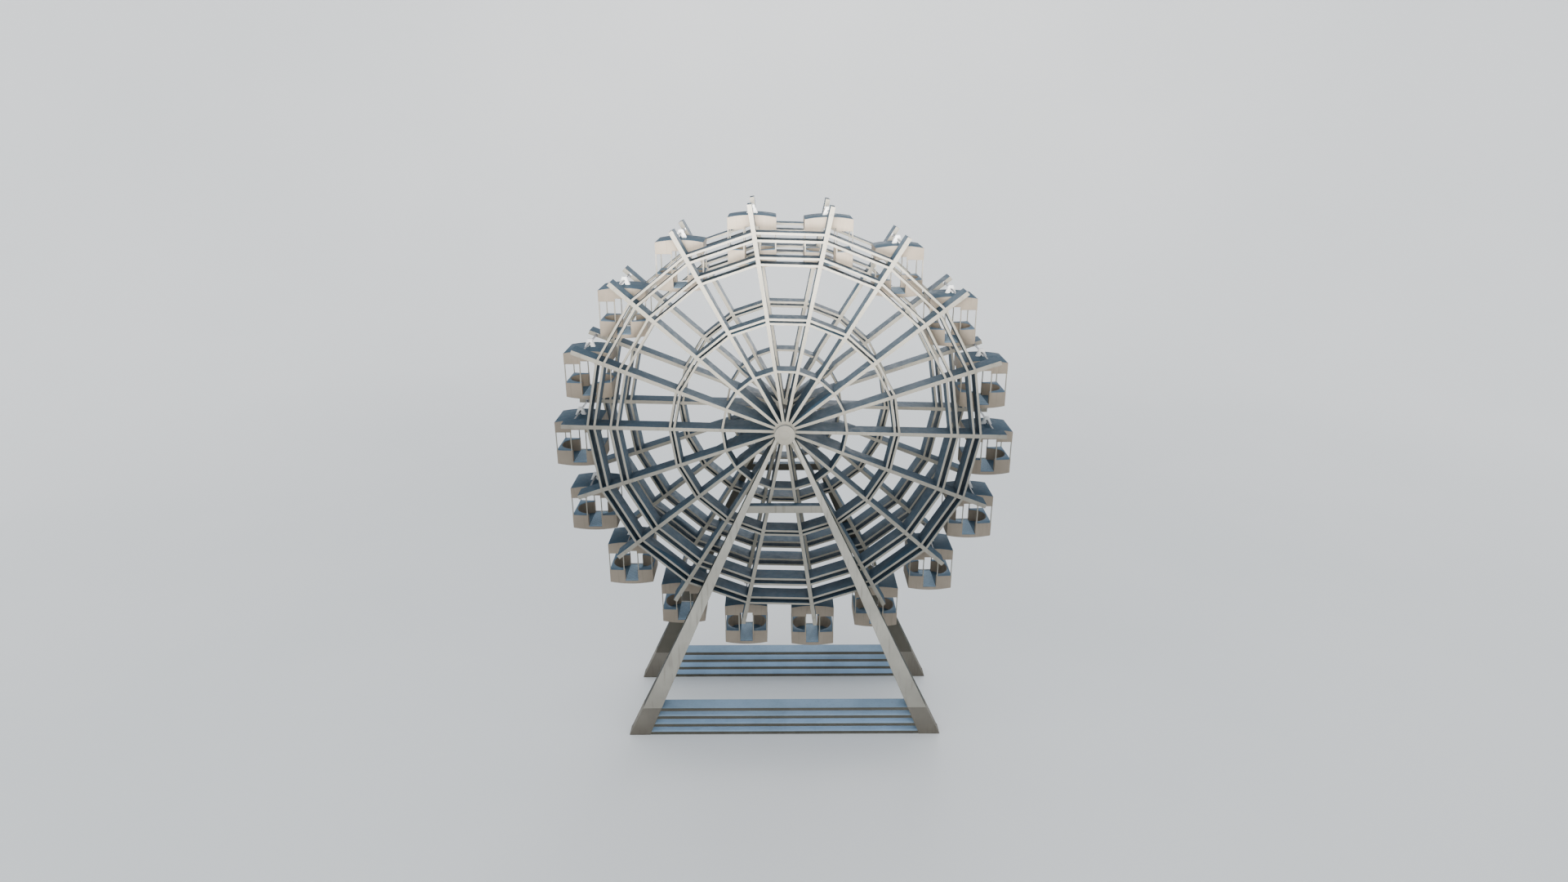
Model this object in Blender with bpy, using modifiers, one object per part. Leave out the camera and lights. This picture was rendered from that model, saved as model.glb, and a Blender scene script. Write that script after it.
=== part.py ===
"""Ferris wheel: two wheel discs and eighteen open cabins, carried by two A-frames.

Frame: metres, +Z up. The origin is on the ground under the hub. The wheel's axle lies
along Y, the front of the wheel faces -Y, and the wheel turns in the XZ plane.
"""
import math

import bmesh
import bpy

# Driving dimensions of the whole wheel
RIM_RADIUS = 8.5
HUB_HEIGHT = 15.28
ARM_COUNT = 18
REST_TURN = math.radians(-1.54)
TOUCH_GAP = 0.0003
MERGE_DISTANCE = 0.0001

# Wheel discs: flat arms and flat ring plates, both as deep as the disc
DISC_OUTER_Y = 2.38
DISC_DEPTH = 0.85
DISC_INNER_Y = DISC_OUTER_Y - DISC_DEPTH
RING_SHARES = (0.318, 0.562, 0.584, 0.8505, 0.883, 0.965, 1.0)
RING_THICKNESS = 0.094
HUB_DRUM_RADIUS = 0.47
ARM_HALF_AT_HUB = 0.060
ARM_HALF_AT_RIM = 0.090
ARM_TIP_RADIUS = 9.63

# Deeper haunches on the arms round the hub, on the inner side of each disc
HAUNCH_DEPTH = 0.47
HAUNCH_TIP_AT_DISC = 3.23
HAUNCH_TIP_INSIDE = 2.55
HAUNCH_OVERLAP = 0.05
HAUNCH_INSET = 0.004

# Main axle and the bearing heads that it turns in
AXLE_RADIUS = 0.20
AXLE_SIDES = 16
AXLE_END_Y = 2.80
AXLE_END_PLAY = 0.003
BEARING_PLAY = 0.0003
HEAD_SLEEVE_RADIUS = 0.30
HEAD_SLEEVE_START_Y = DISC_OUTER_Y + 0.03
HEAD_CAP_RADIUS = 0.442
HEAD_CAP_THICKNESS = 0.08
HEAD_SEGMENTS = 32
AXLE_TURN = math.pi / HEAD_SEGMENTS

# A-frames, in planes just outside the discs
LEG_INNER_Y = DISC_OUTER_Y + 0.06
LEG_OUTER_Y = LEG_INNER_Y + 0.34
FOOT_INNER_Y = 2.04
FOOT_HEIGHT = 1.50
GROUND_OUTER_X = 7.47
GROUND_INNER_X = 6.49
HUB_OUTER_X = 0.33
HUB_INNER_X = 0.20
LEG_TOP_BELOW_HUB = 0.17
BEAM_TOP_BELOW_HUB = 3.30
BEAM_THICKNESS = 0.34
SLAT_COUNT = 4
SLAT_THICKNESS = 0.17
SLAT_INSET_Y = 0.01
SLAT_DEPTH = 0.70

# Cabins, with heights counted down from the pivot
PIVOT_RADIUS = 9.265
CABIN_WIDTH = 2.04
CABIN_DEPTH = 1.78
ROOF_CROWN_Z = -0.17
ROOF_EDGE_Z = -0.27
CEILING_Z = -0.34
FASCIA_BOTTOM_Z = -0.765
NOTCH_TOP_Z = -0.64
SILL_END_Z = -1.595
SILL_DOOR_Z = -1.63
FLOOR_Z = -2.19
TUB_CORNER_Z = -2.25
TUB_CENTRE_Z = -2.355
FASCIA_WALL = 0.055
POST_SIDE = 0.045
POST_INSET = 0.005
DOOR_HALF_WIDTH = 0.305
DOOR_POST_OFFSET = 0.010
POST_SINK = 0.06
WELL_HALF_X = 0.94
WELL_HALF_Y = 0.68
WELL_ROUNDNESS = 2.5
WELL_SEGMENTS = 24
CURVE_STEPS = 6
HANGER_BASE_HALF = 0.255
HANGER_TOP_HALF = 0.085
HANGER_TOP_Z = 0.17
HANGER_BASE_Z = -0.20
HANGER_NOTCH_HALF = 0.11
HANGER_NOTCH_TOP_Z = -0.065
HANGER_DEPTH = 0.16
HANGER_BORE_SIDES = 16
CUT_PAST = 0.2

# Cabin axles: fixed bars between the two discs, on which the cabins' hangers turn
CABIN_AXLE_RADIUS = 0.040
CABIN_AXLE_SIDES = 12
CABIN_AXLE_END_Y = DISC_OUTER_Y + 0.02

HALF_STEP = math.pi / ARM_COUNT


def clear_scene():
    """Remove whatever the new file came with."""
    for obj in list(bpy.data.objects):
        bpy.data.objects.remove(obj, do_unlink=True)


def new_collection(name):
    collection = bpy.data.collections.new(name)
    bpy.context.scene.collection.children.link(collection)
    return collection


def paint(name, colour, roughness, metallic):
    """One Principled material."""
    material = bpy.data.materials.new(name)
    material.use_nodes = True
    shader = material.node_tree.nodes["Principled BSDF"]
    shader.inputs["Base Color"].default_value = (*colour, 1.0)
    shader.inputs["Roughness"].default_value = roughness
    shader.inputs["Metallic"].default_value = metallic
    return material


def ngon(radius, sides, centre=(0.0, 0.0), turn=0.0):
    """Corners of a regular polygon."""
    step = 2 * math.pi / sides
    return [
        (centre[0] + radius * math.cos(turn + i * step), centre[1] + radius * math.sin(turn + i * step))
        for i in range(sides)
    ]


def mesh_object(name, mesh, material, collection):
    obj = bpy.data.objects.new(name, mesh)
    mesh.materials.clear()
    mesh.materials.append(material)
    collection.objects.link(obj)
    return obj


def evaluated_mesh(obj):
    """The object's mesh after its modifiers, as a mesh of its own."""
    bpy.context.view_layer.update()
    depsgraph = bpy.context.evaluated_depsgraph_get()
    return bpy.data.meshes.new_from_object(obj.evaluated_get(depsgraph))


def plate_mesh(name, outlines, y_low, y_high):
    """A plate with the given outlines in the XZ plane, between two planes across Y."""
    curve = bpy.data.curves.new(name, "CURVE")
    curve.dimensions = "2D"
    curve.fill_mode = "BOTH"
    curve.extrude = (y_high - y_low) / 2
    for outline in outlines:
        spline = curve.splines.new("POLY")
        spline.points.add(len(outline) - 1)
        for point, (x, z) in zip(spline.points, outline):
            point.co = (x, z, 0.0, 1.0)
        spline.use_cyclic_u = True
    guide = bpy.data.objects.new(name, curve)
    bpy.context.scene.collection.objects.link(guide)
    mesh = evaluated_mesh(guide)
    bpy.data.objects.remove(guide)
    bpy.data.curves.remove(curve)
    middle = (y_low + y_high) / 2
    edit = bmesh.new()
    edit.from_mesh(mesh)
    bmesh.ops.remove_doubles(edit, verts=edit.verts, dist=MERGE_DISTANCE)
    for vertex in edit.verts:
        x, up, across = vertex.co
        vertex.co = (x, middle - across, up)
    edit.to_mesh(mesh)
    edit.free()
    mesh.name = name
    return mesh


def box_mesh(name, low, high):
    """A box between two corners."""
    edit = bmesh.new()
    bmesh.ops.create_cube(edit, size=1.0)
    for vertex in edit.verts:
        vertex.co = [
            low[axis] if vertex.co[axis] < 0 else high[axis] for axis in range(3)
        ]
    mesh = bpy.data.meshes.new(name)
    edit.to_mesh(mesh)
    edit.free()
    return mesh


def round_bar_mesh(name, radius, sides, turn, half_length):
    """A straight bar along Y, centred on the middle plane."""
    return plate_mesh(name, [ngon(radius, sides, turn=turn)], -half_length, half_length)


def arm_half_width(radius):
    share = radius / RIM_RADIUS
    return ARM_HALF_AT_HUB + (ARM_HALF_AT_RIM - ARM_HALF_AT_HUB) * share


def arm_point(arm, radius, side, inset=0.0):
    """A point on one flank of an arm: side is -1 or 1, counted with the turning angle."""
    angle = REST_TURN + 2 * HALF_STEP * arm
    half = side * (arm_half_width(radius) - inset)
    return (
        radius * math.cos(angle) - half * math.sin(angle),
        radius * math.sin(angle) + half * math.cos(angle),
    )


def flank_radius(distance):
    """Radius along an arm where its flank meets a chord at this distance from the hub."""
    slope = (ARM_HALF_AT_RIM - ARM_HALF_AT_HUB) / RIM_RADIUS
    return (distance - ARM_HALF_AT_HUB * math.sin(HALF_STEP)) / (
        math.cos(HALF_STEP) + slope * math.sin(HALF_STEP)
    )


def star_outline(chord_distance, tip_radius, inset=0.0):
    """A hub with an arm at each step: its chords lie at chord_distance from the hub."""
    points = []
    root = flank_radius(chord_distance)
    for arm in range(ARM_COUNT):
        points.append(arm_point(arm, root, -1, inset))
        points.append(arm_point(arm, tip_radius, -1, inset))
        points.append(arm_point(arm, tip_radius, 1, inset))
        points.append(arm_point(arm, root, 1, inset))
    return points


def seat_radius(bar_radius, sides):
    """Corner radius of a hole that a bar with so many sides fills, just clear of it."""
    return bar_radius * (1 + TOUCH_GAP / (bar_radius * math.cos(math.pi / sides)))


def disc_plate_mesh(name, y_low, y_high):
    """The lattice of arms and rings, with a seat for a cabin axle near each arm's tip."""
    half_ring = RING_THICKNESS / 2
    chords = [share * RIM_RADIUS * math.cos(HALF_STEP) for share in RING_SHARES]
    outlines = [star_outline(chords[-1] + half_ring, ARM_TIP_RADIUS)]
    inner_edges = [HUB_DRUM_RADIUS] + [chord + half_ring for chord in chords[:-1]]
    outer_edges = [chord - half_ring for chord in chords]
    for inner, outer in zip(inner_edges, outer_edges):
        for arm in range(ARM_COUNT):
            outlines.append([
                arm_point(arm, flank_radius(inner), 1),
                arm_point(arm, flank_radius(outer), 1),
                arm_point(arm + 1, flank_radius(outer), -1),
                arm_point(arm + 1, flank_radius(inner), -1),
            ])
    for arm in range(ARM_COUNT):
        seat = seat_radius(CABIN_AXLE_RADIUS, CABIN_AXLE_SIDES)
        outlines.append(ngon(seat, CABIN_AXLE_SIDES, pivot_xz(arm)))
    return plate_mesh(name, outlines, y_low, y_high)


def haunch_mesh(name, y_at_disc, y_inside):
    """Haunches along the inner part of each arm, with ends that slope back to the disc."""
    y_low, y_high = sorted((y_at_disc, y_inside))
    outline = star_outline(HUB_DRUM_RADIUS - HAUNCH_INSET, HAUNCH_TIP_AT_DISC, HAUNCH_INSET)
    mesh = plate_mesh(name, [outline], y_low, y_high)
    edit = bmesh.new()
    edit.from_mesh(mesh)
    middle = (y_low + y_high) / 2
    inside = 1 if y_inside > middle else -1
    for vertex in edit.verts:
        on_inside = (vertex.co.y - middle) * inside > 0
        reach = math.hypot(vertex.co.x, vertex.co.z)
        if on_inside and reach > (HUB_DRUM_RADIUS + HAUNCH_TIP_AT_DISC) / 2:
            angle = math.atan2(vertex.co.z, vertex.co.x)
            arm = round((angle - REST_TURN) / (2 * HALF_STEP))
            lean = angle - REST_TURN - 2 * HALF_STEP * arm
            side = 1 if lean > 0 else -1
            vertex.co.x, vertex.co.z = arm_point(arm, HAUNCH_TIP_INSIDE, side, HAUNCH_INSET)
    edit.to_mesh(mesh)
    edit.free()
    return mesh


def wheel_disc_mesh(word, facing, cutters):
    """One disc with its haunches, and the hole that the main axle fills."""
    y_low, y_high = sorted((facing * DISC_INNER_Y, facing * DISC_OUTER_Y))
    plate = helper(f"{word}_plate", disc_plate_mesh("plate", y_low, y_high), cutters)
    y_root = facing * (DISC_INNER_Y + HAUNCH_OVERLAP)
    y_inside = facing * (DISC_INNER_Y - HAUNCH_DEPTH)
    haunches = helper(f"{word}_haunches", haunch_mesh("haunches", y_root, y_inside), cutters)
    hole_radius = seat_radius(AXLE_RADIUS, AXLE_SIDES)
    hole = round_bar_mesh("hub_hole", hole_radius, AXLE_SIDES, AXLE_TURN, AXLE_END_Y)
    add_boolean(plate, haunches, "UNION")
    add_boolean(plate, helper(f"{word}_hub_hole", hole, cutters), "DIFFERENCE")
    return evaluated_mesh(plate)


def pivot_xz(arm):
    """A cabin's pivot, counted from the hub."""
    angle = REST_TURN + 2 * HALF_STEP * arm
    return (PIVOT_RADIUS * math.cos(angle), PIVOT_RADIUS * math.sin(angle))


def bearing_head(name, facing, material, collection):
    """A capped sleeve round the axle's end, turned about the axle. facing is -1 at the front."""
    bore = (AXLE_RADIUS + BEARING_PLAY) / math.cos(math.pi / HEAD_SEGMENTS)
    cap_back = LEG_OUTER_Y + TOUCH_GAP
    bore_end = AXLE_END_Y + AXLE_END_PLAY
    profile = [
        (0.0, cap_back + HEAD_CAP_THICKNESS),
        (HEAD_CAP_RADIUS, cap_back + HEAD_CAP_THICKNESS),
        (HEAD_CAP_RADIUS, cap_back),
        (HEAD_SLEEVE_RADIUS, cap_back),
        (HEAD_SLEEVE_RADIUS, HEAD_SLEEVE_START_Y),
        (bore, HEAD_SLEEVE_START_Y),
        (bore, bore_end),
        (0.0, bore_end),
    ]
    edit = bmesh.new()
    vertices = [edit.verts.new((radius, 0.0, height)) for radius, height in profile]
    for first, second in zip(vertices, vertices[1:]):
        edit.edges.new((first, second))
    mesh = bpy.data.meshes.new(name)
    edit.to_mesh(mesh)
    edit.free()
    obj = mesh_object(name, mesh, material, collection)
    screw = obj.modifiers.new("Turned profile", "SCREW")
    screw.axis = "Z"
    screw.steps = HEAD_SEGMENTS
    screw.render_steps = HEAD_SEGMENTS
    screw.use_merge_vertices = True
    screw.merge_threshold = MERGE_DISTANCE
    obj.location = (0.0, 0.0, HUB_HEIGHT)
    obj.rotation_euler = (-facing * math.pi / 2, 0.0, 0.0)
    return obj


def outer_edge_x(z):
    return GROUND_OUTER_X + (HUB_OUTER_X - GROUND_OUTER_X) * z / HUB_HEIGHT


def inner_edge_x(z):
    return GROUND_INNER_X + (HUB_INNER_X - GROUND_INNER_X) * z / HUB_HEIGHT


def leg_piece(name, side, z_low, z_high, y_span, facing, material, collection):
    """A length of a tapering leg. side is -1 at the left, facing is -1 at the front."""
    outline = [
        (side * inner_edge_x(z_low), z_low),
        (side * outer_edge_x(z_low), z_low),
        (side * outer_edge_x(z_high), z_high),
        (side * inner_edge_x(z_high), z_high),
    ]
    y_low, y_high = sorted(facing * y for y in y_span)
    mesh = plate_mesh(name, [outline], y_low, y_high)
    return mesh_object(name, mesh, material, collection)


def cross_piece(name, z_low, z_high, y_span, facing, material, collection):
    """A level board or beam that fills the space between a pair of legs."""
    outline = [
        (-inner_edge_x(z_low) + TOUCH_GAP, z_low),
        (inner_edge_x(z_low) - TOUCH_GAP, z_low),
        (inner_edge_x(z_high) - TOUCH_GAP, z_high),
        (-inner_edge_x(z_high) + TOUCH_GAP, z_high),
    ]
    y_low, y_high = sorted(facing * y for y in y_span)
    mesh = plate_mesh(name, [outline], y_low, y_high)
    return mesh_object(name, mesh, material, collection)


def a_frame(word, facing, steel, collection):
    """Two legs on their feet, a cross beam, four base boards and the bearing head."""
    leg_top = HUB_HEIGHT - LEG_TOP_BELOW_HUB
    leg_span = (LEG_INNER_Y, LEG_OUTER_Y)
    foot_span = (FOOT_INNER_Y, LEG_OUTER_Y)
    for side, side_word in ((-1, "left"), (1, "right")):
        foot_name = f"{word}_{side_word}_foot"
        leg_piece(foot_name, side, 0.0, FOOT_HEIGHT, foot_span, facing, steel, collection)
        leg_name = f"{word}_{side_word}_leg"
        leg_foot = FOOT_HEIGHT + TOUCH_GAP
        leg_piece(leg_name, side, leg_foot, leg_top, leg_span, facing, steel, collection)
    beam_top = HUB_HEIGHT - BEAM_TOP_BELOW_HUB
    beam_low = beam_top - BEAM_THICKNESS
    cross_piece(f"{word}_cross_beam", beam_low, beam_top, leg_span, facing, steel, collection)
    slat_outer = LEG_OUTER_Y - SLAT_INSET_Y
    slat_span = (slat_outer - SLAT_DEPTH, slat_outer)
    pitch = (FOOT_HEIGHT - SLAT_THICKNESS) / (SLAT_COUNT - 1)
    for row in range(SLAT_COUNT):
        low = row * pitch
        high = low + SLAT_THICKNESS
        cross_piece(f"{word}_base_board_{row + 1}", low, high, slat_span, facing, steel, collection)
    bearing_head(f"{word}_bearing_head", facing, steel, collection)


def add_boolean(obj, other, operation):
    modifier = obj.modifiers.new(other.name, "BOOLEAN")
    modifier.operation = operation
    modifier.object = other
    modifier.solver = "EXACT"


def helper(name, mesh, collection):
    """A solid that only cuts or joins another one."""
    obj = bpy.data.objects.new(name, mesh)
    obj.hide_render = True
    obj.display_type = "WIRE"
    collection.objects.link(obj)
    return obj


def curved_row(z_edge, z_middle, steps):
    """Points across the cabin along a shallow arch."""
    half = CABIN_WIDTH / 2
    return [
        (half * share, z_middle + (z_edge - z_middle) * share * share)
        for share in (2 * i / steps - 1 for i in range(steps + 1))
    ]


def tub_mesh():
    """The tub's front outline, drawn through from front to back."""
    half = CABIN_WIDTH / 2
    outline = curved_row(TUB_CORNER_Z, TUB_CENTRE_Z, CURVE_STEPS)
    outline += [
        (half, SILL_END_Z),
        (DOOR_HALF_WIDTH, SILL_DOOR_Z),
        (-DOOR_HALF_WIDTH, SILL_DOOR_Z),
        (-half, SILL_END_Z),
    ]
    return plate_mesh("tub", [outline], -CABIN_DEPTH / 2, CABIN_DEPTH / 2)


def roof_mesh():
    """The roof's front outline: a shallow arch over a deep fascia."""
    half = CABIN_WIDTH / 2
    outline = [(-half, FASCIA_BOTTOM_Z), (half, FASCIA_BOTTOM_Z)]
    outline += reversed(curved_row(ROOF_EDGE_Z, ROOF_CROWN_Z, CURVE_STEPS))
    return plate_mesh("roof", [outline], -CABIN_DEPTH / 2, CABIN_DEPTH / 2)


def squared_round(value):
    """A sine or cosine, pushed outwards so that a circle fills its corners more."""
    return math.copysign(abs(value) ** (2 / WELL_ROUNDNESS), value)


def well_mesh():
    """The well between the seats, from the floor up: an oval with full corners."""
    edit = bmesh.new()
    height = CUT_PAST + SILL_END_Z - FLOOR_Z
    bmesh.ops.create_cone(
        edit, cap_ends=True, segments=WELL_SEGMENTS, radius1=1.0, radius2=1.0, depth=height
    )
    for vertex in edit.verts:
        vertex.co.x = WELL_HALF_X * squared_round(vertex.co.x)
        vertex.co.y = WELL_HALF_Y * squared_round(vertex.co.y)
        vertex.co.z += FLOOR_Z + height / 2
    mesh = bpy.data.meshes.new("well")
    edit.to_mesh(mesh)
    edit.free()
    return mesh


def hanger_mesh():
    """The A-shaped hanger that stands on the roof's crown."""
    outline = [
        (-HANGER_BASE_HALF, HANGER_BASE_Z),
        (-HANGER_NOTCH_HALF, HANGER_BASE_Z),
        (0.0, HANGER_NOTCH_TOP_Z),
        (HANGER_NOTCH_HALF, HANGER_BASE_Z),
        (HANGER_BASE_HALF, HANGER_BASE_Z),
        (HANGER_TOP_HALF, HANGER_TOP_Z),
        (-HANGER_TOP_HALF, HANGER_TOP_Z),
    ]
    bore = (CABIN_AXLE_RADIUS + BEARING_PLAY) / math.cos(math.pi / HANGER_BORE_SIDES)
    bore_outline = ngon(bore, HANGER_BORE_SIDES, turn=math.pi / HANGER_BORE_SIDES)
    return plate_mesh("hanger", [outline, bore_outline], -HANGER_DEPTH / 2, HANGER_DEPTH / 2)


def post_boxes():
    """Four corner posts and a post at each side of both doorways."""
    outer_x = CABIN_WIDTH / 2 - POST_INSET
    door_x = DOOR_HALF_WIDTH + DOOR_POST_OFFSET + POST_SIDE
    outer_y = CABIN_DEPTH / 2 - POST_INSET
    low_z = SILL_DOOR_Z - POST_SINK
    high_z = FASCIA_BOTTOM_Z + POST_SINK
    boxes = []
    for x_outer in (outer_x, door_x):
        for side in (-1, 1):
            for facing in (-1, 1):
                x_low, x_high = sorted((side * x_outer, side * (x_outer - POST_SIDE)))
                y_low, y_high = sorted((facing * outer_y, facing * (outer_y - POST_SIDE)))
                boxes.append(((x_low, y_low, low_z), (x_high, y_high, high_z)))
    return boxes


def cabin_mesh(cutters):
    """One whole cabin about its pivot: tub with seats, posts, roof and bored hanger."""
    half_depth = CABIN_DEPTH / 2
    slot_y = half_depth + CUT_PAST
    tub = helper("tub_block", tub_mesh(), cutters)
    well = helper("well_cut", well_mesh(), cutters)
    sill_top = SILL_END_Z + CUT_PAST
    doorway = helper("doorway_cut", box_mesh(
        "doorway", (-DOOR_HALF_WIDTH, -slot_y, FLOOR_Z), (DOOR_HALF_WIDTH, slot_y, sill_top)
    ), cutters)
    add_boolean(tub, well, "DIFFERENCE")
    add_boolean(tub, doorway, "DIFFERENCE")

    roof = helper("roof_block", roof_mesh(), cutters)
    room_x = CABIN_WIDTH / 2 - FASCIA_WALL
    room_y = half_depth - FASCIA_WALL
    below = FASCIA_BOTTOM_Z - CUT_PAST
    room = helper("room_cut", box_mesh(
        "room", (-room_x, -room_y, below), (room_x, room_y, CEILING_Z)
    ), cutters)
    notch = helper("notch_cut", box_mesh(
        "notch", (-DOOR_HALF_WIDTH, -slot_y, below), (DOOR_HALF_WIDTH, slot_y, NOTCH_TOP_Z)
    ), cutters)
    add_boolean(roof, room, "DIFFERENCE")
    add_boolean(roof, notch, "DIFFERENCE")

    add_boolean(tub, roof, "UNION")
    for number, (low, high) in enumerate(post_boxes()):
        post = helper(f"post_{number}", box_mesh("post", low, high), cutters)
        add_boolean(tub, post, "UNION")
    add_boolean(tub, helper("hanger_plate", hanger_mesh(), cutters), "UNION")
    return evaluated_mesh(tub)


def main():
    clear_scene()
    parts = new_collection("Ferris wheel")
    cutters = new_collection("Cutters")
    cream = paint("frame_cream", (0.56, 0.51, 0.43), 0.5, 0.0)
    cabin_paint = paint("cabin_cream", (0.60, 0.54, 0.46), 0.45, 0.0)
    steel = paint("axle_steel", (0.30, 0.31, 0.32), 0.35, 1.0)

    a_frame("front", -1, cream, parts)
    a_frame("rear", 1, cream, parts)

    wheel = bpy.data.objects.new("wheel_axis", None)
    wheel.location = (0.0, 0.0, HUB_HEIGHT)
    parts.objects.link(wheel)
    for word, facing in (("front", -1), ("rear", 1)):
        disc_mesh = wheel_disc_mesh(word, facing, cutters)
        disc = mesh_object(f"{word}_wheel_disc", disc_mesh, cream, parts)
        disc.parent = wheel
    axle_mesh = round_bar_mesh("main_axle", AXLE_RADIUS, AXLE_SIDES, AXLE_TURN, AXLE_END_Y)
    axle = mesh_object("main_axle", axle_mesh, steel, parts)
    axle.parent = wheel

    cabin = cabin_mesh(cutters)
    cabin.name = "cabin"
    bar = round_bar_mesh("cabin_axle", CABIN_AXLE_RADIUS, CABIN_AXLE_SIDES, 0.0, CABIN_AXLE_END_Y)
    for arm in range(ARM_COUNT):
        x, z = pivot_xz(arm)
        for name, mesh, finish in (("cabin", cabin, cabin_paint), ("cabin_axle", bar, steel)):
            obj = mesh_object(f"{name}_{arm + 1:02d}", mesh, finish, parts)
            obj.location = (x, 0.0, z)
            obj.parent = wheel


main()
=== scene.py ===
# %% [markdown]
# # A ferris wheel, dressed for its portrait
# The imported model already has every solid that carries load: two A-frames, two wheel discs, the
# axles and eighteen cabins. This lesson gives those solids paint with painted shade and light in it,
# then builds what a solid model leaves out, such as the cabins' seats, treads, posts, bearings and bolts.

# %% Load the frame
import math
import bpy
from mathutils import Matrix, Vector


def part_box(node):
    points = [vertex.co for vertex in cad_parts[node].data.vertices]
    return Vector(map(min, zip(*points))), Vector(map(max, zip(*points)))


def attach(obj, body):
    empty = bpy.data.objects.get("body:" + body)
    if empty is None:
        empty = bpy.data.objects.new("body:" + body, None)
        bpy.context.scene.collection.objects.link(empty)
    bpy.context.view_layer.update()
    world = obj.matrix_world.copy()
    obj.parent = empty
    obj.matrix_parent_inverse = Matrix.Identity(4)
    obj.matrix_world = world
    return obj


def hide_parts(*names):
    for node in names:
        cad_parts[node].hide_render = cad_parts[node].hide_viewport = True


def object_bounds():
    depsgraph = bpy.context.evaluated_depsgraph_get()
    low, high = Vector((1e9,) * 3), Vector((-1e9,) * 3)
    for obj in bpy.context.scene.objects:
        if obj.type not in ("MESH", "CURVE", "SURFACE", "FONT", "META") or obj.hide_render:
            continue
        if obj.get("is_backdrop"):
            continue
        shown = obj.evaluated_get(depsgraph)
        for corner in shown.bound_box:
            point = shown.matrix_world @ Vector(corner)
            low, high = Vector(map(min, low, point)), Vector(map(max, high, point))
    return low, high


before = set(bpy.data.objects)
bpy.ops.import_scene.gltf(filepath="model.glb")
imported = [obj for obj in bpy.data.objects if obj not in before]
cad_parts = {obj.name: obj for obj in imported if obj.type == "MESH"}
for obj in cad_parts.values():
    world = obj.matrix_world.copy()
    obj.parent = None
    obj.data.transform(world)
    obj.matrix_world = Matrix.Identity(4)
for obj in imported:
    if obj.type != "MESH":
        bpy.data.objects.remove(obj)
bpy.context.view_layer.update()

# %% [markdown]
# ## The sizes that the dressing needs
# The wheel turns about one axle, so nearly every new piece is placed by a radius and an arm's
# number. The hub's height is read from the main axle, and the other sizes repeat the drawing's.

# %% Sizes of the wheel
axle_low, axle_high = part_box("main_axle")
HUB = (axle_low.z + axle_high.z) / 2
ARMS = 18
STEP = 2 * math.pi / ARMS
REST_TURN = math.radians(-1.54)
RIM = 8.5
PIVOT = 9.265
disc_low, disc_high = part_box("front_wheel_disc")
DISC_FACE = -disc_low.y
DISC_BACK = DISC_FACE - 0.85
print("hub at", round(HUB, 3), "m, disc face at", round(DISC_FACE, 3), "m")


def arm_angle(arm):
    return REST_TURN + arm * STEP


def on_wheel(arm, radius, y, facing=-1):
    """The matrix that puts a piece drawn about its own middle, facing -Y, onto an arm."""
    angle = arm_angle(arm)
    place = Matrix.Translation((radius * math.cos(angle), y, HUB + radius * math.sin(angle)))
    turn = Matrix.Rotation(-angle, 4, "Y")
    flip = Matrix.Rotation(math.pi, 4, "X") if facing > 0 else Matrix.Identity(4)
    return place @ turn @ flip


# %% [markdown]
# ## Small helpers for working by hand
# Every operator acts on what is selected, so each helper first clears the selection and then picks
# what it needs by place or by normal. A block or a bar is only ever a start: it is cut, pulled and
# bevelled before it counts as a piece.

# %% Helpers: select, start, finish
def only(obj):
    """Select one object alone, in object mode."""
    if bpy.context.object and bpy.context.object.mode != "OBJECT":
        bpy.ops.object.mode_set(mode="OBJECT")
    bpy.ops.object.select_all(action="DESELECT")
    obj.select_set(True)
    bpy.context.view_layer.objects.active = obj


def settle(obj, name):
    """Name a new object and press its place, turn and size into its mesh."""
    obj.name = name
    obj.data.name = name
    only(obj)
    bpy.ops.object.transform_apply(location=True, rotation=True, scale=True)
    return obj


def block(name, low, high):
    bpy.ops.object.select_all(action="DESELECT")
    middle = [(a + b) / 2 for a, b in zip(low, high)]
    size = [b - a for a, b in zip(low, high)]
    bpy.ops.mesh.primitive_cube_add(size=1.0, location=middle, scale=size)
    return settle(bpy.context.object, name)


def bar(name, radius, y_low, y_high, sides=32, x=0.0, z=0.0, turn=0.0):
    """A round bar along Y."""
    bpy.ops.object.select_all(action="DESELECT")
    bpy.ops.mesh.primitive_cylinder_add(
        vertices=sides, radius=radius, depth=y_high - y_low,
        location=(x, (y_low + y_high) / 2, z), rotation=(math.pi / 2, turn, 0.0),
    )
    return settle(bpy.context.object, name)


# %% Helpers: pick in edit mode, cut and join
def pick(obj, kind, test):
    """Enter edit mode with only the faces, edges or corners chosen that pass the test."""
    only(obj)
    mesh = obj.data
    for group in (mesh.vertices, mesh.edges, mesh.polygons):
        for item in group:
            item.select = False
    chosen = 0
    if kind == "FACE":
        for face in mesh.polygons:
            face.select = bool(test(face.center, face.normal))
            chosen += face.select
    elif kind == "EDGE":
        for edge in mesh.edges:
            a, b = (mesh.vertices[i].co for i in edge.vertices)
            edge.select = bool(test(a, b))
            chosen += edge.select
    else:
        for corner in mesh.vertices:
            corner.select = bool(test(corner.co))
            chosen += corner.select
    bpy.context.tool_settings.mesh_select_mode = [kind == word for word in ("VERT", "EDGE", "FACE")]
    bpy.ops.object.mode_set(mode="EDIT")
    return chosen


def leave_edit():
    bpy.ops.object.mode_set(mode="OBJECT")


def slice_across(obj, places, normal=(1, 0, 0)):
    """Cut the mesh along planes across an axis, so that its rows can be moved."""
    only(obj)
    bpy.ops.object.mode_set(mode="EDIT")
    for place in places:
        bpy.ops.mesh.select_all(action="SELECT")
        spot = [place * n for n in normal]
        bpy.ops.mesh.bisect(plane_co=spot, plane_no=normal, use_fill=False)
    leave_edit()


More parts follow.
